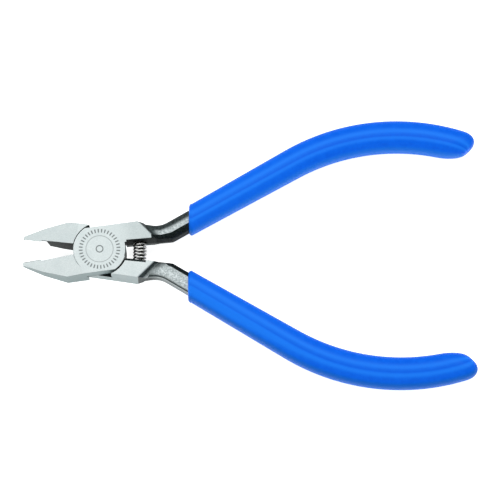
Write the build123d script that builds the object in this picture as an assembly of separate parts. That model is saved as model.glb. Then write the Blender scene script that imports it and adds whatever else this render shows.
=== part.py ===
from build123d import *
import math
import os

# Small spring-opened diagonal cutting pliers with a riveted lap joint.
# Frame: +X from the pivot towards the handles, +Z up through the joint, origin where the
# pivot axis meets the joint's lower face. The part is drawn relaxed, with the spring
# holding the jaws open. Each half is laid out as it stands when the jaws are shut, with
# its cutting edge on the X axis, and is then turned open about the pivot.
# Sizes are in millimetres and angles in degrees.

HALF_OPEN = 8.6          # each half's turn from shut to relaxed

# Lap joint
JOINT_THICKNESS = 6.35
LAP_GAP = 0.04           # running gap between the two laps
DISC_RADIUS = 6.25       # the round lap
JAW_RECESS_RADIUS = 6.42     # recess for the other half's disc, behind the jaw
ROOT_RECESS_RADIUS = 6.62    # the same, in front of the handle root
RIVET_RADIUS = 2.4
RIVET_HEAD_RADIUS = 3.2
RIVET_HEAD_DEPTH = 0.8
RIVET_CLEARANCE = 0.03   # radial, in the half that turns on the rivet

# Jaw, seen from above
EDGE_GAP = 0.01          # each cutting edge stops this far from the X axis
TIP_X = -18.45
HEEL_X = -14.25          # where the cutting edge ends
RELIEF = 0.38            # the inner edge behind the heel is set back by this
FLANK = 5.5              # half the head's width
JAW_OUTER = [(-18.5, -0.85), (-13.95, -3.25), (-8.5, -FLANK)]
# Jaw, seen from the side: (x, z) along the flush face and along the bevelled face
JAW_FLUSH_SIDE = [(-18.6, 0.66), (-4.9, JOINT_THICKNESS / 2)]
JAW_BEVEL_SIDE = [(-18.6, -0.6), (-14.0, -2.0), (-8.8, -JOINT_THICKNESS / 2)]
BEVEL_ANGLE = 38         # of the cutting bevel from vertical
BEVEL_LENGTH = 5.7       # from the tip

# Handle root: the thick block in front of the joint
ROOT_FLANK = 5.57        # outer flank at the pivot
ROOT_INNER = 1.2         # inner wall at the pivot, at mid height
ROOT_DRAFT = 0.47        # how much further out the wall is at the faces
NOTCH_X = 6.5            # where the gap between the two roots starts
SHOULDER_OUTER = (9.8, 5.5)      # ends of the diagonal shoulder
SHOULDER_INNER = (12.9, 1.2)
SHOULDER_RUN = 0.9       # width of the ramp from the ground face to the arm

# Arm under the grip, and the grip over it: a straight run, then one long arc
ARM_WIDTH = 4.4
ARM_THICKNESS = 5.0
ARM_EDGE = 1.3           # rounding of the arm's long edges
ARM_ANGLE = 21.9
VALLEY = (14.88, 3.9)
KINK = (17.3, 0.22)
VALLEY_RADIUS = 5.5
KINK_RADIUS = 4.0
BEND_START = Vector(48.31, 15.19)
BEND_RADIUS = 50.0
ARM_BEND = 46.5
GRIP_THICKNESS = 7.0
GRIP_EDGE = 2.9
GRIP_MOUTH_X = 21.0      # in the relaxed position, square to the tool's axis
GRIP_BACK = 32.5         # the grip's outline is drawn from here behind the bend
GRIP_HALF_WIDTH = 3.6    # at the start of the bend
GRIP_TAPER = 0.83        # each side of the straight run
GRIP_OUTER_RADIUS = 52.1
GRIP_INNER_RADIUS = 47.6
GRIP_BEND = 62.0
GRIP_END = Vector(90.0, 11.5)    # a point on the slanted end facet
GRIP_END_ANGLE = 32.4
GRIP_END_RADIUS = 3.0

# Return spring, between blind pockets in the two roots
SPRING_X = 9.45
SPRING_OUTER_RADIUS = 1.62
SPRING_INNER_RADIUS = 1.16
SPRING_BOW_RADIUS = 21.4
SPRING_HALF_ANGLE = 10.4
POCKET_X = 9.65
POCKET_RADIUS = 1.8
POCKET_BOTTOM = 2.75     # from the X axis, in the shut position

HALF_T = JOINT_THICKNESS / 2
FAR = 30.0               # past every edge of the head


def turned(angle, length=1.0):
    """A vector of that length at that angle to the X axis."""
    a = math.radians(angle)
    return Vector(length * math.cos(a), length * math.sin(a))


def outline(points):
    """The face inside a closed run of straight lines."""
    return make_face(Polyline(*points, close=True))


def prism(face, low, high):
    """A plan face extruded from one height to another."""
    return extrude(Pos(0, 0, low) * face, high - low)


def side_on(start, along):
    """A plane across a level line in plan: local x to its left, local y up."""
    return Plane(origin=start, x_dir=Vector(-along.Y, along.X), z_dir=along)


def jaw():
    """The jaw's plan at full height, thinned towards the tip on both faces."""
    plan = [(TIP_X, -EDGE_GAP), *JAW_OUTER, (0, -FLANK), (0, -RELIEF)]
    plan += [(HEEL_X + 0.25, -RELIEF), (HEEL_X, -EDGE_GAP)]
    profile = [*JAW_FLUSH_SIDE, (1, HALF_T), (1, -HALF_T), *reversed(JAW_BEVEL_SIDE)]
    return prism(outline(plan), -HALF_T, HALF_T) & extrude(Plane.XZ * outline(profile), FAR, both=True)


def cutting_bevel():
    """What is ground away under the cutting edge, so that it stands at the flush face."""
    (x0, z0), (x1, z1) = JAW_FLUSH_SIDE
    edge = Plane(origin=(x0, -EDGE_GAP, z0), x_dir=(0, 1, 0), z_dir=(x1 - x0, 0, z1 - z0))
    depth = 2 * HALF_T
    back = depth * math.tan(math.radians(BEVEL_ANGLE))
    return extrude(edge * outline([(0, 0), (-back, -depth), (1, -depth), (1, 0)]), BEVEL_LENGTH)


def handle_plan():
    """The root and the arm in one outline, from the pivot to the arm's round end."""
    half = ARM_WIDTH / 2
    heading = turned(ARM_ANGLE)
    aside = turned(ARM_ANGLE + 90, half)
    outer_end, inner_end = BEND_START + aside, BEND_START - aside
    flank = Line((0, ROOT_FLANK), SHOULDER_OUTER)
    outer = FilletPolyline(SHOULDER_OUTER, VALLEY, outer_end, radius=VALLEY_RADIUS)
    inner = FilletPolyline((0, ROOT_INNER), KINK, inner_end, radius=KINK_RADIUS)
    outer_bend = JernArc(outer_end, heading, BEND_RADIUS + half, -ARM_BEND)
    inner_bend = JernArc(inner_end, heading, BEND_RADIUS - half, -ARM_BEND)
    middle = JernArc(BEND_START, heading, BEND_RADIUS, -ARM_BEND)
    end = ThreePointArc(outer_bend @ 1, middle @ 1 + (middle % 1) * half, inner_bend @ 1)
    return make_face(flank + outer + outer_bend + end + inner_bend + inner + Line(inner @ 0, flank @ 0))


def arm():
    """The arm at its own thickness, with its long edges rounded."""
    bar = extrude(handle_plan(), ARM_THICKNESS / 2, both=True)
    rims = [e for e in bar.faces().filter_by(Axis.Z).edges() if e.center().X > SHOULDER_OUTER[0] / 2 + 0.1]
    return fillet(rims, ARM_EDGE)


def root():
    """The thick block, with its diagonal shoulder."""
    block = extrude(handle_plan() & Pos(0, 5) * Rectangle(2 * FAR, 20), HALF_T, both=True)
    outer, inner = Vector(*SHOULDER_OUTER), Vector(*SHOULDER_INNER)
    along = (inner - outer).normalized()
    shoulder = side_on(outer - along * 5, along)
    foot = ARM_THICKNESS / 2 - 0.4
    for side in (1, -1):
        past = [(0, HALF_T), (SHOULDER_RUN, foot), (SHOULDER_RUN, 0), (90, 0), (90, FAR), (0, FAR)]
        block -= extrude(shoulder * outline([(x, side * z) for x, z in past]), 90)
    return block


def throat():
    """What is cut away inside the root and the start of the arm: its wall leans back from
    mid height to both faces."""
    wall = (Vector(*KINK) - Vector(0, ROOT_INNER)).normalized()
    apex = Vector(0, ROOT_INNER) + wall * NOTCH_X
    lean = 2 * ROOT_DRAFT
    gap = [(-9, -2 * HALF_T), (-9, 2 * HALF_T), (lean, 2 * HALF_T), (0, 0), (lean, -2 * HALF_T)]
    return extrude(side_on(apex, wall) * outline(gap), FAR)


def disc():
    """The round lap, in the upper layer, cut off by the head's flanks."""
    fall = (SHOULDER_OUTER[1] - ROOT_FLANK) / SHOULDER_OUTER[0]
    flanks = [(-FAR, -FLANK), (FAR, -FLANK), (FAR, ROOT_FLANK + fall * FAR), (-FAR, ROOT_FLANK - fall * FAR)]
    return prism(Circle(DISC_RADIUS) & outline(flanks), LAP_GAP / 2, HALF_T)


def recesses():
    """Room in the lower layer for the other half's disc: tighter on the jaw's side."""
    jaw_side = Circle(JAW_RECESS_RADIUS) & Pos(0, -FAR / 2) * Rectangle(FAR, FAR)
    root_side = Circle(ROOT_RECESS_RADIUS) & Pos(0, FAR / 2) * Rectangle(FAR, FAR)
    return prism(jaw_side + root_side, -HALF_T - 1, LAP_GAP / 2)


def half(flush):
    """One forged half, shut, with its disc in the upper layer. flush is 1 if its flush
    cutting face is on the upper side and -1 if it is on the lower side."""
    cutting_jaw = jaw() - cutting_bevel()
    if flush < 0:
        cutting_jaw = mirror(cutting_jaw, Plane.XY)
    body = cutting_jaw + root() - recesses() + disc()
    body = body + (arm() - prism(Circle(ROOT_RECESS_RADIUS), -9, 9)) - throat()
    pocket = Pos(POCKET_X, 0, 0) * Rot(-90, 0, 0) * extrude(Circle(POCKET_RADIUS), POCKET_BOTTOM)
    return body - pocket


def rivet_shape(clearance):
    """The rivet, countersunk flush at both faces, or the hole for it."""
    shank = extrude(Circle(RIVET_RADIUS + clearance), HALF_T, both=True)
    head = Pos(0, 0, HALF_T - RIVET_HEAD_DEPTH / 2)
    cone = Cone(RIVET_RADIUS + clearance, RIVET_HEAD_RADIUS + clearance, RIVET_HEAD_DEPTH)
    return shank + head * cone + Rot(180, 0, 0) * head * cone


def grip_blank():
    """The outside of a dipped grip, shut, longer at its mouth than the finished one."""
    sides = []
    for side, radius in ((1, GRIP_OUTER_RADIUS), (-1, GRIP_INNER_RADIUS)):
        heading = ARM_ANGLE + side * GRIP_TAPER
        bend_start = BEND_START + turned(ARM_ANGLE + 90, side * GRIP_HALF_WIDTH)
        straight = Line(bend_start - turned(heading, GRIP_BACK), bend_start)
        sides.append((straight, JernArc(bend_start, turned(heading), radius, -GRIP_BEND)))
    (outer, outer_bend), (inner, inner_bend) = sides
    ends = Line(outer_bend @ 1, inner_bend @ 1) + Line(inner @ 0, outer @ 0)
    plan = make_face(outer + outer_bend + inner_bend + inner + ends)
    plan -= Pos(GRIP_END) * Rot(0, 0, GRIP_END_ANGLE) * Pos(0, -20) * Rectangle(60, 40)
    plan = fillet(plan.vertices().sort_by(Axis.X)[-1], GRIP_END_RADIUS)
    inner_corner = GRIP_END - turned(GRIP_END_ANGLE, 3)
    plan = fillet(plan.vertices().sort_by_distance(inner_corner)[0], GRIP_END_RADIUS)
    blank = extrude(plan, GRIP_THICKNESS / 2, both=True)
    return fillet(blank.faces().filter_by(Axis.Z).edges(), GRIP_EDGE)


def grip():
    """A dipped grip in the relaxed position: a closed sleeve that fits its arm."""
    past_mouth = Pos(GRIP_MOUTH_X + 50, 20, 0) * Box(100, 100, 20)
    return (Rot(0, 0, HALF_OPEN) * (grip_blank() - arm())) & past_mouth


def coil_spring():
    """The spring's coils as one bowed tube between the pockets."""
    centre_x = SPRING_X - SPRING_BOW_RADIUS
    ring = Circle(SPRING_OUTER_RADIUS) - Circle(SPRING_INNER_RADIUS)
    section = Plane.XZ * Pos(SPRING_BOW_RADIUS, 0) * ring
    tube = Rot(0, 0, -SPRING_HALF_ANGLE) * revolve(section, Axis.Z, 2 * SPRING_HALF_ANGLE)
    return Pos(centre_x, 0, 0) * tube


def turned_over(shape):
    """The same shape on the other half: turned over about the X axis."""
    return Rot(180, 0, 0) * shape


relaxed = Rot(0, 0, HALF_OPEN)
parts = {
    "upper_handle_half": relaxed * half(flush=1) - rivet_shape(0),
    "lower_handle_half": turned_over(relaxed * half(flush=-1)) - rivet_shape(RIVET_CLEARANCE),
    "pivot_rivet": rivet_shape(0),
    "coil_spring": coil_spring(),
    "upper_grip": grip(),
    "lower_grip": turned_over(grip()),
}

os.makedirs("parts", exist_ok=True)
for name, shape in parts.items():
    export_step(Pos(0, 0, HALF_T) * shape, f"parts/{name}.step")
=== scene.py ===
import math

import bmesh
import bpy
import numpy as np
from mathutils import Matrix, Vector


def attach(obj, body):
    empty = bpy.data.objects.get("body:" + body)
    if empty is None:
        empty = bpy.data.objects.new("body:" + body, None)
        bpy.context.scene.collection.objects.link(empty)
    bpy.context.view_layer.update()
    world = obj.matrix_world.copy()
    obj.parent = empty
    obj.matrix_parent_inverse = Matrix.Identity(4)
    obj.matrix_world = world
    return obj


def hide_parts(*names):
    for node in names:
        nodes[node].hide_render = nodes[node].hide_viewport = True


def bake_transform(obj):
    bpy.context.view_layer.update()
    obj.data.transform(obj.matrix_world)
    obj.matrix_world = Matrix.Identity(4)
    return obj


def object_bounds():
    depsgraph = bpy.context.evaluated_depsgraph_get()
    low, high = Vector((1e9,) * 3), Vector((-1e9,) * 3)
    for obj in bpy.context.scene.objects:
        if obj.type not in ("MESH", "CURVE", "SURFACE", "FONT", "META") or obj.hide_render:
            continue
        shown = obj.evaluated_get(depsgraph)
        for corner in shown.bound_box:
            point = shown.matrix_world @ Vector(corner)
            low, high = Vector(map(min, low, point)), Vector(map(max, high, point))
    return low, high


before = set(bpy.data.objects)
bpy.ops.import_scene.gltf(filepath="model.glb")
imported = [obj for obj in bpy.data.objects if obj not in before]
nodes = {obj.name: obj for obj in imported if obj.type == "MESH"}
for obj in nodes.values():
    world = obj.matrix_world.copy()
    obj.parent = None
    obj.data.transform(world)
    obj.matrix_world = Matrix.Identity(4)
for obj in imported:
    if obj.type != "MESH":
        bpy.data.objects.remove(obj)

# Diagonal cutting pliers. Lengths are in millimetres, and the meshes are scaled to metres when
# they are made. Only the camera, the lights, the floor and the bumps are given in metres. The
# half that carries the upper grip is "upper", and the same shapes turned over about the X axis
# make "lower".

MM = 0.001
MID_Z = 3.175            # mid-plane of the tool above the joint's lower face
HALF_OPEN = math.radians(8.6)
STEEL_VOXEL = 0.06
FRONT_X = 24.0           # the part of a forging that shows ends inside the grip here

CAMERA_LENS = 212.3
CAMERA_AIM = (0.03555, 0.000834, 0.003175)
CAMERA_DISTANCE = 0.7
CAMERA_TILT = math.radians(16)
CAMERA_TURN = math.radians(0.34)
FLOOR_HALF_SIZE = 1.5
FLOOR_DROP = 0.0002      # how far the floor lies below the tool

cad_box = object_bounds()


# ---------------------------------------------------------------- small helpers

def smoothstep(low, high, value):
    t = np.clip((value - low) / (high - low), 0, 1)
    return t * t * (3 - 2 * t)


def new_object(name, mesh):
    obj = bpy.data.objects.new(name, mesh)
    bpy.context.scene.collection.objects.link(obj)
    return obj


def mesh_from(name, points, faces):
    """A mesh in metres from points in millimetres, smooth shaded, facing outwards."""
    mesh = bpy.data.meshes.new(name)
    mesh.from_pydata([tuple(MM * c for c in p) for p in points], [], faces)
    bm = bmesh.new()
    bm.from_mesh(mesh)
    bmesh.ops.recalc_face_normals(bm, faces=bm.faces)
    bm.to_mesh(mesh)
    bm.free()
    mesh.shade_smooth()
    return mesh


def evaluated(obj):
    """The object's mesh with its modifiers applied."""
    graph = bpy.context.evaluated_depsgraph_get()
    return bpy.data.meshes.new_from_object(obj.evaluated_get(graph))


def set_attribute(mesh, name, values):
    layer = mesh.attributes.new(name, "FLOAT", "POINT")
    layer.data.foreach_set("value", np.asarray(values, np.float32))


def vertex_arrays(mesh):
    count = len(mesh.vertices)
    points, normals = np.empty(count * 3), np.empty(count * 3)
    mesh.vertices.foreach_get("co", points)
    mesh.vertices.foreach_get("normal", normals)
    return points.reshape(-1, 3), normals.reshape(-1, 3)


# ---------------------------------------------------------------- camera and light

def make_camera():
    data = bpy.data.cameras.new("camera")
    data.sensor_width = 36
    data.lens = CAMERA_LENS
    data.clip_start = 0.01
    camera = new_object("camera", data)
    turn = Matrix.Rotation(CAMERA_TILT, 4, "X") @ Matrix.Rotation(CAMERA_TURN, 4, "Z")
    away = Vector((0, -math.sin(CAMERA_TILT), math.cos(CAMERA_TILT)))
    place = Vector(CAMERA_AIM) + CAMERA_DISTANCE * away
    camera.matrix_world = Matrix.Translation(place) @ turn
    bpy.context.scene.camera = camera
    bpy.context.scene.view_settings.view_transform = "Standard"


def make_light(name, place, aim, size, power):
    data = bpy.data.lights.new(name, "AREA")
    data.shape = "RECTANGLE"
    data.size, data.size_y = size
    data.energy = power
    light = new_object(name, data)
    light.location = place
    light.rotation_euler = (Vector(aim) - Vector(place)).to_track_quat("-Z", "Y").to_euler()


def make_stage():
    world = bpy.data.worlds.new("studio")
    world.use_nodes = True
    background = world.node_tree.nodes["Background"]
    background.inputs["Color"].default_value = (1, 1, 1, 1)
    background.inputs["Strength"].default_value = 0.50
    bpy.context.scene.world = world
    make_light("key", (0.0, 0.22, 0.50), (0.0, 0, 0), (1.30, 0.16), 2.6)
    make_light("fill", (0.035, -0.45, 0.45), (0.035, 0, 0), (0.6, 0.3), 0.5)

    size, low = FLOOR_HALF_SIZE, cad_box[0].z - FLOOR_DROP
    mesh = bpy.data.meshes.new("floor")
    corners = [(-size, -size, low), (size, -size, low), (size, size, low), (-size, size, low)]
    mesh.from_pydata(corners, [], [(0, 1, 2, 3)])
    floor = new_object("floor", mesh)
    material = bpy.data.materials.new("floor_white")
    material.use_nodes = True
    shader = material.node_tree.nodes["Principled BSDF"]
    shader.inputs["Base Color"].default_value = (0.9, 0.9, 0.9, 1)
    shader.inputs["Roughness"].default_value = 0.9
    shader.inputs["Specular IOR Level"].default_value = 0.0
    shader.inputs["Emission Color"].default_value = (1, 1, 1, 1)
    shader.inputs["Emission Strength"].default_value = 0.8
    mesh.materials.append(material)


# ---------------------------------------------------------------- materials

class Nodes:
    """Short calls for building a shader's node tree."""

    def __init__(self, name):
        self.material = bpy.data.materials.new(name)
        self.material.use_nodes = True
        self.tree = self.material.node_tree
        self.shader = self.tree.nodes["Principled BSDF"]

    def add(self, kind, **inputs):
        node = self.tree.nodes.new(kind)
        for key, value in inputs.items():
            self.put(node.inputs[key.replace("_", " ")], value)
        return node

    def put(self, socket, value):
        if isinstance(value, bpy.types.NodeSocket):
            self.tree.links.new(value, socket)
        else:
            socket.default_value = value

    def math(self, operation, a, b=0.0):
        node = self.tree.nodes.new("ShaderNodeMath")
        node.operation = operation
        for socket, value in zip(node.inputs, (a, b)):
            self.put(socket, value)
        return node.outputs[0]

    def ramp(self, value, low, high, to_low=0.0, to_high=1.0):
        node = self.tree.nodes.new("ShaderNodeMapRange")
        node.interpolation_type = "SMOOTHSTEP"
        for socket, item in zip(node.inputs, (value, low, high, to_low, to_high)):
            self.put(socket, item)
        return node.outputs[0]

    def mix(self, factor, a, b):
        node = self.tree.nodes.new("ShaderNodeMix")
        node.data_type = "RGBA"
        self.put(node.inputs[0], factor)
        self.put(node.inputs[6], a)
        self.put(node.inputs[7], b)
        return node.outputs[2]

    def attribute(self, name):
        node = self.tree.nodes.new("ShaderNodeAttribute")
        node.attribute_name = name
        return node.outputs["Fac"]

    def noise(self, scale, stretch=(1, 1, 1), detail=3.0, rough=0.6):
        coordinates = self.tree.nodes.new("ShaderNodeTexCoord").outputs["Object"]
        mapping = self.add("ShaderNodeMapping", Vector=coordinates, Scale=stretch)
        node = self.add("ShaderNodeTexNoise", Vector=mapping.outputs[0], Scale=scale)
        node.inputs["Detail"].default_value = detail
        node.inputs["Roughness"].default_value = rough
        return node.outputs["Fac"]

    def bump(self, height, strength, distance):
        node = self.add("ShaderNodeBump", Height=height, Strength=strength, Distance=distance)
        self.tree.links.new(node.outputs[0], self.shader.inputs["Normal"])


def rgb(red, green, blue):
    """A linear colour from 0 to 255 screen values."""
    return tuple((c / 255) ** 2.2 for c in (red, green, blue)) + (1.0,)


DIAL_TICKS = 36
DIAL_FLOOR_Z = 6.2       # the dial is on the upper face only, above this height


def etched_dial(n):
    """1 on the plain dial etched on the joint's upper face: two rings and even ticks."""
    coordinates = n.tree.nodes.new("ShaderNodeTexCoord").outputs["Object"]
    split = n.add("ShaderNodeSeparateXYZ", Vector=coordinates)
    x, y, z = split.outputs
    radius = n.math("SQRT", n.math("ADD", n.math("MULTIPLY", x, x), n.math("MULTIPLY", y, y)))
    angle = n.math("ARCTAN2", y, x)

    def ring(at, half_width):
        off = n.math("ABSOLUTE", n.math("SUBTRACT", radius, at * MM))
        return n.ramp(off, half_width * MM * 0.6, half_width * MM, 1.0, 0.0)

    phase = n.math("FRACT", n.math("MULTIPLY", angle, DIAL_TICKS / (2 * math.pi)))
    off_tick = n.math("ABSOLUTE", n.math("SUBTRACT", phase, 0.5))
    tick = n.math("MULTIPLY", n.ramp(off_tick, 0.14, 0.24, 1.0, 0.0), ring(4.45, 0.55))
    rings = n.math("MAXIMUM", n.math("MULTIPLY", ring(3.22, 0.11), 0.55), ring(0.8, 0.16))
    marks = n.math("MAXIMUM", rings, tick)
    return n.math("MULTIPLY", marks, n.math("GREATER_THAN", z, DIAL_FLOOR_Z * MM))


def steel_material(name, dial):
    """Ground faces, side walls in painted shade, shot-blasted arms with painted shade, and black
    forging scale that also carries painted shade in the gaps and hollows, each where the
    mesh's attributes say. Noise breaks up the borders of the scale and the shade."""
    n = Nodes(name)
    fine = n.noise(9000, (0.25, 1, 1), 4)
    cloud = n.noise(450, (1, 1, 1), 3)
    grit = n.noise(2600, (1, 1, 1), 5, 0.75)

    ground = n.mix(n.ramp(fine, 0.35, 0.65), rgb(190, 200, 200), rgb(208, 217, 217))
    ground = n.mix(n.ramp(cloud, 0.35, 0.75, 0.0, 0.35), ground, rgb(182, 194, 195))
    # side walls: the ground steel in painted shade
    side = n.mix(n.ramp(fine, 0.3, 0.7), rgb(100, 118, 119), rgb(120, 137, 138))
    blast = n.mix(n.ramp(grit, 0.36, 0.64), rgb(146, 158, 159), rgb(220, 229, 230))
    shaded = n.mix(n.ramp(grit, 0.35, 0.65), rgb(26, 33, 33), rgb(68, 78, 78))
    # black forging scale, and the same black used as painted shade in the gaps and hollows
    scale = n.mix(n.ramp(grit, 0.4, 0.7), rgb(29, 35, 35), rgb(56, 64, 64))
    # the dark walls are lighter towards their bottom
    scale = n.mix(n.attribute("scale_low_band"), scale, rgb(60, 70, 70))

    broken = n.math("MULTIPLY", n.math("SUBTRACT", n.noise(2600, (1, 1, 1), 3), 0.5), 0.55)
    side_shade_mask = n.attribute("side")
    blast_mask = n.attribute("blast")
    shade_mask = n.math("ADD", n.attribute("shade"), n.math("MULTIPLY", broken, 0.5))
    scale_and_shade_mask = n.ramp(n.math("ADD", n.attribute("scale"), broken), 0.42, 0.58)

    colour = n.mix(side_shade_mask, ground, side)
    colour = n.mix(blast_mask, colour, blast)
    colour = n.mix(n.ramp(shade_mask, 0.0, 1.0), colour, shaded)
    height = n.math("ADD", n.math("MULTIPLY", fine, 0.12),
                    n.math("MULTIPLY", n.math("MULTIPLY", grit, blast_mask), 0.9))
    if dial:
        etched = etched_dial(n)
        colour = n.mix(n.math("MULTIPLY", etched, 0.85), colour, rgb(72, 80, 82))
        height = n.math("SUBTRACT", height, n.math("MULTIPLY", etched, 1.2))
    colour = n.mix(scale_and_shade_mask, colour, scale)

    n.put(n.shader.inputs["Base Color"], colour)
    dark = n.math("MAXIMUM", scale_and_shade_mask, n.math("MULTIPLY", shade_mask, 0.7))
    n.put(n.shader.inputs["Metallic"], n.math("ADD", 0.25, n.math("MULTIPLY", dark, 0.75)))
    rough = n.math("ADD", 0.44, n.math("MULTIPLY", n.math("ADD", fine, -0.5), 0.2))
    rough = n.math("ADD", rough, n.math("MULTIPLY", blast_mask, 0.14))
    n.put(n.shader.inputs["Roughness"], n.math("ADD", rough, n.math("MULTIPLY", scale_and_shade_mask, 0.15)))
    n.bump(height, 0.25, 0.00003)
    return n.material


def vinyl_material():
    """Blue dipped vinyl, a little uneven, with painted highlights and a painted dark gap between
    them, a painted sheen at the side edges and painted shade along the lower grip's lower edge.
    """
    n = Nodes("blue_vinyl_dip")
    wave = n.noise(160, (1, 1, 1), 2, 0.4)
    cloud = n.noise(700, (1, 1, 1), 3)
    colour = n.mix(n.ramp(cloud, 0.3, 0.7), rgb(13, 96, 226), rgb(16, 102, 233))
    # painted highlights
    colour = n.mix(n.math("MULTIPLY", n.attribute("painted_highlight"), 0.95), colour, rgb(34, 123, 246))
    # painted dark gap between the highlights
    colour = n.mix(n.math("MULTIPLY", n.attribute("highlight_gap"), 0.9), colour, rgb(10, 88, 218))
    # painted sheen at the grip's side edges
    colour = n.mix(n.math("MULTIPLY", n.attribute("edge_sheen"), 0.7), colour, rgb(8, 110, 206))
    # painted shade along the lower grip's lower edge
    colour = n.mix(n.math("MULTIPLY", n.attribute("lower_edge_shade"), 0.8), colour, rgb(10, 92, 186))
    n.put(n.shader.inputs["Base Color"], colour)
    n.put(n.shader.inputs["Roughness"], n.ramp(cloud, 0.3, 0.7, 0.34, 0.42))
    n.put(n.shader.inputs["IOR"], 1.5)
    n.put(n.shader.inputs["Specular IOR Level"], 0.05)
    n.bump(wave, 0.05, 0.0004)
    return n.material


def spring_material():
    """Drawn nickel-plated wire, bright, with painted shade under the turns, at their left and right
    edges and towards the +Y end in the pocket.
    """
    n = Nodes("bright_spring_wire")
    drawn = n.noise(5200, (1, 1, 0.3), 3)
    colour = n.mix(n.ramp(drawn, 0.3, 0.7), rgb(206, 208, 206), rgb(244, 245, 243))
    # painted shade under and beside the turns
    colour = n.mix(n.attribute("spring_shade"), colour, rgb(24, 27, 28))
    n.put(n.shader.inputs["Base Color"], colour)
    n.put(n.shader.inputs["Metallic"], 1.0)
    n.put(n.shader.inputs["Roughness"], n.ramp(drawn, 0.3, 0.7, 0.16, 0.3))
    n.bump(drawn, 0.1, 0.00002)
    return n.material


# ---------------------------------------------------------------- forged halves

# the upper half in plan, with its jaws shut
SHOULDER_AT = (9.8, 5.5)              # outer end of the diagonal shoulder
SHOULDER_NORMAL = (0.811, 0.585)      # across the shoulder, towards the arm
SHUT_INNER = [(0, 1.2), (17.3, 0.22), (49.13, 13.15)]       # inner line of root and arm
SHUT_OUTER = [(0, 5.57), SHOULDER_AT, (14.88, 3.9), (47.49, 17.23)]
DISC_RADIUS = 6.25                    # the round lap
POCKET_X = 9.65                       # middle of the spring's pocket
POCKET_HALF = 1.95
REACH_UPPER, REACH_LOWER = 0.34, 0.27  # share of the arm's width that is scaled


def shut_frame(points, normals, lower):
    """Points and normals as if the half were the upper one, with its jaws shut."""
    p, q = points / MM - (0, 0, MID_Z), normals.copy()
    if lower:
        p[:, 1:] *= -1
        q[:, 1:] *= -1
    c, s = math.cos(HALF_OPEN), math.sin(HALF_OPEN)
    turn = np.array([[c, s, 0], [-s, c, 0], [0, 0, 1]])
    return p @ turn.T, q @ turn.T


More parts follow.
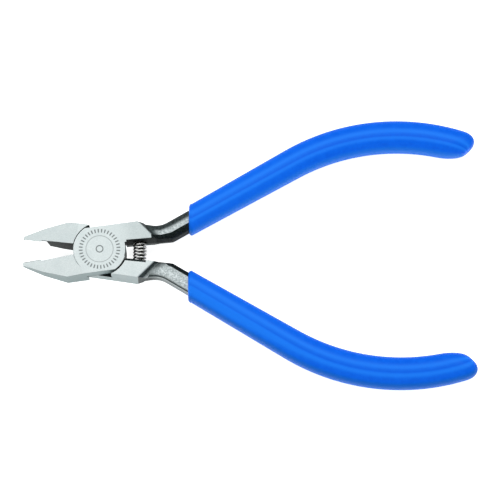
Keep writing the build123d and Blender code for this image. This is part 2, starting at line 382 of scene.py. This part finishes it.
def paint_forging(mesh, lower):
    """Writes where the forging is side wall in painted shade, blasted arm, shaded arm and black
    scale, with painted shade in the gaps and hollows counted in with the scale.
    """
    (x, y, z), (nx, ny, nz) = (a.T for a in shut_frame(*vertex_arrays(mesh), lower))
    radius = np.hypot(x, y)
    outward = (x * nx + y * ny) / np.maximum(radius, 0.1)
    wall = 1 - smoothstep(0.55, 0.8, np.abs(nz))
    inner = np.interp(x, *zip(*SHUT_INNER))
    outer = np.interp(x, *zip(*SHUT_OUTER))
    across = (y - inner) / (outer - inner)

    top = -z if lower else z                              # height towards the face in view
    on_top = smoothstep(0.1, 0.4, -nz if lower else nz)
    rear = (x > 5) & (y > 0)
    throat = rear * wall * smoothstep(0.25, 0.55, -ny) * (y < inner + 1.1)
    reach_in = REACH_LOWER * smoothstep(15.0, 17.0, x) if lower else REACH_UPPER
    arm_inner = (x > 12.5) * (y > 0) * (1 - smoothstep(reach_in - 0.05, reach_in + 0.05, across))
    pocket = (np.abs(x - POCKET_X) < POCKET_HALF) & (np.abs(z) < POCKET_HALF)
    pocket = pocket & (y > inner + 0.12) & (y < 3.1) & (np.abs(ny) < 0.95)
    lap = (np.abs(z) < 0.25) & (radius < 6.75)
    recess = wall * smoothstep(0.3, 0.6, -outward) * (radius > 6.2) * (radius < 6.9)
    off_flank = (y > -5.25) & (y < outer - 0.2)
    own_jaw = (x < 0) & (y < 0)
    at_disc = (np.abs(radius - DISC_RADIUS) < 0.25) * (z > -0.05)
    disc_wall = wall * smoothstep(0.3, 0.6, outward) * at_disc * off_flank * ~own_jaw
    behind_heel = wall * smoothstep(0.15, 0.35, ny) * (x < -4) * (x > -13.9) * (y > -2.2)
    # throat and arm_inner are black forging scale; pocket, lap, recess and disc_wall are painted
    # shade in the spring's pocket and the gaps between the halves; behind_heel paints the inner jaw
    # wall behind the heel black
    dark = [throat, arm_inner, pocket, lap, recess, disc_wall, behind_heel]
    if lower:
        # painted shade along the lower root's inner edge, beside the spring
        dark.append(on_top * (x > 6.3) * (x < 11.3) * (y < inner + 1.0) * (y > 0))
    else:
        # painted shade: a dark rim round the disc's top edge, standing in for the dark gap beyond
        # it
        gap_shade_rim = (radius > 6.08) * (radius < 6.4) * (z > 2)
        dark.append(on_top * gap_shade_rim * (x > 5.6) * (y > -3.6) * (y < 0.85))
    set_attribute(mesh, "scale", np.clip(sum(np.asarray(d, float) for d in dark), 0, 1))
    # the dark walls are lighter towards their bottom
    set_attribute(mesh, "scale_low_band", 0.8 * (x > 9) * (1 - smoothstep(-1.1, -0.5, top)))

    # distance past the shoulder, towards the arm
    past = (x - SHOULDER_AT[0]) * SHOULDER_NORMAL[0] + (y - SHOULDER_AT[1]) * SHOULDER_NORMAL[1]
    blast = smoothstep(0.05, 0.35, past) * (x > 8)
    set_attribute(mesh, "blast", blast * (1 - 0.6 * wall * (across > 0.6)))
    # painted shade: side walls darker than the faces, less on the lower half, and a share of it
    # painted on the lower jaw's faces and the upper root's face
    face_shade_share = 0.15 * (x < -6) if lower else 0.24 * smoothstep(3.5, 9.5, x)
    side = (0.75 if lower else 1) * wall + face_shade_share * (1 - wall)
    set_attribute(mesh, "side", side * (1 - blast))
    if lower:
        shade = 1.2 * np.exp(-((past - 0.35) / 0.4) ** 2) + 0.6 * np.exp(-((past - 0.8) / 1.5) ** 2)
        shade = shade + 1.2 * np.exp(-((top - 1.75) / 0.34) ** 2) * (across > 0.8) * (past > 1.5)
        shade = shade + 0.65 * (1 - smoothstep(1.0, 1.3, top)) * (across > 0.8)
        shade = shade + 0.28 * (1 - smoothstep(0.25, 0.75, across)) * (past > 1)
    else:
        shade = 0.2 + 0.8 * np.exp(-((past - 0.5) / 0.9) ** 2) + 1.1 * smoothstep(0.5, 0.85, across)
    shade = shade * blast
    if not lower:                                         # a dark line along the cutting edge, in the shaded colour
        shade = shade + 0.55 * (x < -14.2) * (y > -0.2) * on_top
    set_attribute(mesh, "shade", np.clip(shade, 0, 1))


def cut_at(mesh, x, keep_front):
    """The closed part of the mesh on one side of a plane across X."""
    bm = bmesh.new()
    bm.from_mesh(mesh)
    bmesh.ops.bisect_plane(bm, geom=bm.verts[:] + bm.edges[:] + bm.faces[:], dist=1e-7,
                           plane_co=(x, 0, 0), plane_no=(1, 0, 0),
                           clear_outer=keep_front, clear_inner=not keep_front)
    open_edges = [e for e in bm.edges if e.is_boundary]
    bmesh.ops.holes_fill(bm, edges=open_edges)
    bmesh.ops.recalc_face_normals(bm, faces=bm.faces)
    out = bpy.data.meshes.new("cut")
    bm.to_mesh(out)
    bm.free()
    return out


def make_forging(name, node, body, lower, material):
    """A forged half. The part that shows is remeshed finely, in millimetres, and laid back on
    the exact surface, so that it can carry paint. The rest of the arm is carried over."""
    bm = bmesh.new()
    bm.from_mesh(nodes[node].data)
    bmesh.ops.remove_doubles(bm, verts=bm.verts, dist=2e-6)
    bmesh.ops.scale(bm, vec=(1 / MM,) * 3, verts=bm.verts)
    whole = bpy.data.meshes.new(name)
    bm.to_mesh(whole)
    bm.free()
    front = new_object(name + "_front", cut_at(whole, FRONT_X, True))
    remesh = front.modifiers.new("remesh", "REMESH")
    remesh.mode = "VOXEL"
    remesh.voxel_size = STEEL_VOXEL
    relax = front.modifiers.new("relax", "SMOOTH")
    relax.factor = 0.5
    relax.iterations = 2
    exact = new_object(name + "_exact", front.data.copy())
    fit = front.modifiers.new("fit", "SHRINKWRAP")
    fit.target = exact
    fit.wrap_method = "NEAREST_SURFACEPOINT"
    fine = evaluated(front)
    bpy.data.objects.remove(front)
    bpy.data.objects.remove(exact)

    bm = bmesh.new()
    bm.from_mesh(fine)
    bm.from_mesh(cut_at(whole, FRONT_X, False))
    bmesh.ops.scale(bm, vec=(MM,) * 3, verts=bm.verts)
    mesh = bpy.data.meshes.new(name)
    bm.to_mesh(mesh)
    bm.free()
    mesh.shade_smooth()
    mesh.materials.clear()
    mesh.materials.append(material)
    paint_forging(mesh, lower)
    forging = new_object(name, mesh)
    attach(forging, body)
    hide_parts(node)


# ---------------------------------------------------------------- dipped grips

HEADING = math.radians(30.5)          # of the straight run
BEND_START = np.array([45.50, 22.24])
BEND_RADIUS = 50.0
TAPER = math.tan(math.radians(0.83))
MOUTH_X = 21.0
LIP = 0.75
FACET_POINT = np.array([86.85, 24.98])
FACET_ANGLE = math.radians(41)
CAP = 4.2                             # how deep the end's rounding goes
END_FALL = 2.5                        # how far top and bottom come in over the end
CORNER_OUTER, CORNER_INNER = 4.4, 2.1
GRIP_HALF_HEIGHT = 3.5
ARM_END_BEND = math.radians(46.5)
ARM_HALF_WIDTH = 2.24
BORE_HALF_HEIGHT = 2.56
GRIP_POWER = 2.7                      # how square the grip's section is
BORE_POWER = 3.2


def along_grip(distance, side):
    """Centre point and unit normal, times side, at a distance past the bend's start."""
    if distance < 0:
        centre = BEND_START + distance * np.array([math.cos(HEADING), math.sin(HEADING)])
        heading = HEADING
    else:
        heading = HEADING - distance / BEND_RADIUS
        hub = BEND_START + BEND_RADIUS * np.array([math.sin(HEADING), -math.cos(HEADING)])
        centre = hub + BEND_RADIUS * np.array([-math.sin(heading), math.cos(heading)])
    return centre, side * np.array([-math.sin(heading), math.cos(heading)])


def grip_edge(distance, side):
    """A point on the grip's outline in plan: side 1 is the outer line and -1 the inner."""
    centre, normal = along_grip(distance, side)
    turned = distance / BEND_RADIUS
    if distance < 0:
        offset = 3.6 + distance * TAPER
    elif side > 0:
        offset = 2.1 + 1.5 * math.cos(turned) + 52.1 * TAPER * math.sin(turned)
    else:
        offset = 2.4 + 1.2 * math.cos(turned) + 47.6 * TAPER * math.sin(turned)
    return centre + normal * offset


def arm_edge(distance, side):
    """A point on the arm's outline in plan, which is also the bore's."""
    centre, normal = along_grip(distance, side)
    return centre + normal * ARM_HALF_WIDTH


def reach(curve, side, past, low, high):
    """Where along a line it first gets past a test, by halving."""
    for _ in range(50):
        middle = (low + high) / 2
        if past(curve(middle, side)):
            high = middle
        else:
            low = middle
    return high


def section(outer, inner, half_height, power, count, swell=None):
    """A ring through an outer and an inner point in plan, as a superellipse. Angle 0 is the
    outer point and a quarter turn is the top."""
    middle, arm = (outer + inner) / 2, (outer - inner) / 2
    ring = []
    for k in range(count):
        a = 2 * math.pi * k / count
        c, s = math.cos(a), math.sin(a)
        u = math.copysign(abs(c) ** (2 / power), c)
        w = math.copysign(abs(s) ** (2 / power), s)
        grow = 1 + (swell(a) if swell else 0)
        ring.append((*(middle + arm * u * grow), MID_Z + half_height * w * grow))
    return ring


def bridge(rings):
    """Points and faces of a tube through the rings, closed at both ends."""
    count = len(rings[0])
    points = [p for ring in rings for p in ring]
    faces = []
    for r in range(len(rings) - 1):
        for k in range(count):
            a, b = r * count + k, r * count + (k + 1) % count
            faces.append((a, b, b + count, a + count))
    faces.append(tuple(range((len(rings) - 1) * count, len(rings) * count)))
    faces.append(tuple(reversed(range(count))))
    return points, faces


def make_grip(name, node, body, lower, material):
    """A closed sleeve: from the deep end of the bore out to the mouth, round its lip, and
    along the outside to the rounded, slanted end."""
    count = 96
    stations = 170
    facet = np.array([math.cos(FACET_ANGLE), math.sin(FACET_ANGLE)])
    out = np.array([facet[1], -facet[0]])
    at_mouth = lambda x: (lambda p: p[0] > x)
    before_cap = lambda p: (p - FACET_POINT) @ out > -CAP

    def ridges(a):
        return 0.006 * math.cos(3 * a - 0.6) * max(0.0, math.sin(a)) ** 2

    # bore, from its deep end to the mouth
    rings = []
    bore_start = [reach(arm_edge, s, at_mouth(MOUTH_X), -40, 0) for s in (1, -1)]
    bore_end = BEND_RADIUS * ARM_END_BEND
    for t in np.linspace(0, 1, 8)[1:]:
        back = bore_end + 2.2 * math.cos(t * math.pi / 2)
        wide = math.sin(t * math.pi / 2)
        o, i = arm_edge(back, 1), arm_edge(back, -1)
        m, h = (o + i) / 2, (o - i) / 2 * wide
        rings.append(section(m + h, m - h, BORE_HALF_HEIGHT * wide, BORE_POWER, count))
    for t in np.linspace(1, 0, stations // 2)[1:]:
        o = arm_edge(bore_start[0] + t * (bore_end - bore_start[0]), 1)
        i = arm_edge(bore_start[1] + t * (bore_end - bore_start[1]), -1)
        rings.append(section(o, i, BORE_HALF_HEIGHT, BORE_POWER, count))
    bore_count = len(rings)

    # lip: a rounded edge at the mouth
    start = [reach(grip_edge, s, at_mouth(MOUTH_X + LIP), -40, 0) for s in (1, -1)]
    o, i = grip_edge(start[0], 1), grip_edge(start[1], -1)
    for t in np.linspace(0, 1, 9)[:-1]:
        inset = LIP * (1 - math.sin(t * math.pi / 2))
        back = np.array([-LIP * math.cos(t * math.pi / 2), 0])
        shrink = np.array([0, inset])
        rings.append(section(o + back - shrink, i + back + shrink,
                             GRIP_HALF_HEIGHT - inset, GRIP_POWER, count))

    # outside
    stop = [reach(grip_edge, s, before_cap, 30, 62) for s in (1, -1)]
    for t in np.linspace(0, 1, stations):
        o = grip_edge(start[0] + t * (stop[0] - start[0]), 1)
        i = grip_edge(start[1] + t * (stop[1] - start[1]), -1)
        rings.append(section(o, i, GRIP_HALF_HEIGHT, GRIP_POWER, count, ridges))

    # end: each side runs on in its own direction while it is rounded in to the facet
    def onward(distance):
        heading = HEADING - distance / BEND_RADIUS
        direction = np.array([math.cos(heading), math.sin(heading)])
        return direction / (direction @ out)

    for t in np.linspace(0, 1, 16)[1:]:
        ahead = CAP * math.sin(t * math.pi / 2)
        fall = 1 - math.cos(t * math.pi / 2)
        rings.append(section(o + onward(stop[0]) * ahead - facet * CORNER_OUTER * fall,
                             i + onward(stop[1]) * ahead + facet * CORNER_INNER * fall,
                             GRIP_HALF_HEIGHT - END_FALL * fall, GRIP_POWER, count, ridges))
    points, faces = bridge(rings)

    angle = np.tile(np.arange(count) * 2 * math.pi / count, len(rings))
    row = np.repeat(np.arange(len(rings)), count)
    outside = row >= bore_count
    # how far each point lies to the +Y side of its ring's middle, from -1 to 1
    turn_over = -1 if lower else 1
    lean = turn_over * np.sign(np.cos(angle)) * np.abs(np.cos(angle)) ** 0.74
    top = outside * smoothstep(-0.2, 0.1, turn_over * np.sin(angle))
    near_mouth = 1 - smoothstep(28, 58, np.array(points)[:, 0])
    # painted highlights on the top, where the lamps would be reflected: two bands, a painted dark
    # gap between them, and lighter towards the mouth
    if lower:
        second = np.exp(-((lean + 0.34 + 0.1 * near_mouth) / (0.16 + 0.16 * near_mouth)) ** 2)
    else:
        second = 0.85 * np.exp(-((lean + 0.3) / 0.13) ** 2)
    painted_highlight = np.exp(-((lean - 0.17) / 0.18) ** 2) + second + 0.25 * near_mouth
    if lower:
        points = [(x, -y, 2 * MID_Z - z) for x, y, z in points]
        # painted shade along the lower grip's -Y edge
        lower_edge_shade = smoothstep(0.7, 0.97, -lean)
    else:
        # painted reflection of the floor along the upper grip's -Y edge
        painted_highlight = painted_highlight + 0.5 * smoothstep(0.7, 0.95, -lean)
        lower_edge_shade = np.zeros(len(lean))
    mesh = mesh_from(name, points, faces)
    set_attribute(mesh, "painted_highlight", np.clip(painted_highlight, 0, 1) * top)
    set_attribute(mesh, "highlight_gap", np.exp(-((lean + 0.08) / 0.055) ** 2) * top)
    set_attribute(mesh, "lower_edge_shade", lower_edge_shade * top)
    # painted sheen along the grip's side edges
    set_attribute(mesh, "edge_sheen", smoothstep(0.75, 1.0, np.abs(lean)) * outside)
    mesh.materials.append(material)
    grip = new_object(name, mesh)
    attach(grip, body)
    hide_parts(node)


# ---------------------------------------------------------------- return spring

SPRING_X = 9.45
BOW_RADIUS = 21.4
BOW_HALF = math.radians(10.4)
WIRE_SHARE = 0.955                    # how much of the bow the wire's centre line spans
COIL_RADIUS = 1.385
WIRE_RADIUS = 0.235
TURNS = 9.0


def make_spring(material):
    """A bowed compression coil, wound evenly."""
    steps, around = ((480, 12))
    centre = []
    for k in range(steps + 1):
        t = k / steps
        bow = BOW_HALF * (1 - 2 * t) * WIRE_SHARE
        hub = Vector((SPRING_X - BOW_RADIUS, 0, MID_Z))
        radial = Vector((math.cos(bow), math.sin(bow), 0))
        turn = 2 * math.pi * TURNS * t
        centre.append(hub + radial * (BOW_RADIUS + COIL_RADIUS * math.cos(turn))
                      + Vector((0, 0, COIL_RADIUS * math.sin(turn))))
    rings = []
    for k, point in enumerate(centre):
        ahead = (centre[min(k + 1, steps)] - centre[max(k - 1, 0)]).normalized()
        axis_point = Vector((SPRING_X - BOW_RADIUS + BOW_RADIUS * math.cos(
            BOW_HALF * (1 - 2 * k / steps)), point.y, MID_Z))
        aside = point - axis_point
        aside = (aside - ahead * aside.dot(ahead)).normalized()
        up = ahead.cross(aside)
        rings.append([tuple(point + WIRE_RADIUS * (aside * math.cos(a) + up * math.sin(a)))
                      for a in (2 * math.pi * j / around for j in range(around))])
    points, faces = bridge(rings)
    mesh = mesh_from("return_spring_coil", points, faces)
    place = np.array(points)
    # painted shade: under the turns, at their left and right edges and towards the +Y end in the
    # pocket
    low = 1 - smoothstep(MID_Z - 0.5, MID_Z + 0.6, place[:, 2])
    left = 1 - smoothstep(SPRING_X - 1.5, SPRING_X - 0.7, place[:, 0])
    right = smoothstep(SPRING_X + 0.95, SPRING_X + 1.4, place[:, 0])
    deep = smoothstep(1.5, 2.2, place[:, 1])
    set_attribute(mesh, "spring_shade", np.clip(low + 0.7 * left + 0.6 * right + 0.9 * deep, 0, 0.96))
    mesh.materials.append(material)
    spring = new_object("return_spring_coil", mesh)
    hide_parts("coil_spring")
    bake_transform(spring)


# ---------------------------------------------------------------- the whole tool

make_camera()
make_stage()
dial_steel = steel_material("ground_steel_with_dial", True)
plain_steel = steel_material("ground_steel", False)
make_forging("upper_forged_half", "upper_handle_half", "upper_handle", False, dial_steel)
make_forging("lower_forged_half", "lower_handle_half", "lower_handle", True, plain_steel)
vinyl = vinyl_material()
make_grip("upper_vinyl_sleeve", "upper_grip", "upper_handle", False, vinyl)
make_grip("lower_vinyl_sleeve", "lower_grip", "lower_handle", True, vinyl)
make_spring(spring_material())

# the rivet keeps its CAD mesh, and its head carries the middle of the dial
rivet = nodes["pivot_rivet"]
rivet.data.materials.clear()
rivet.data.materials.append(dial_steel)
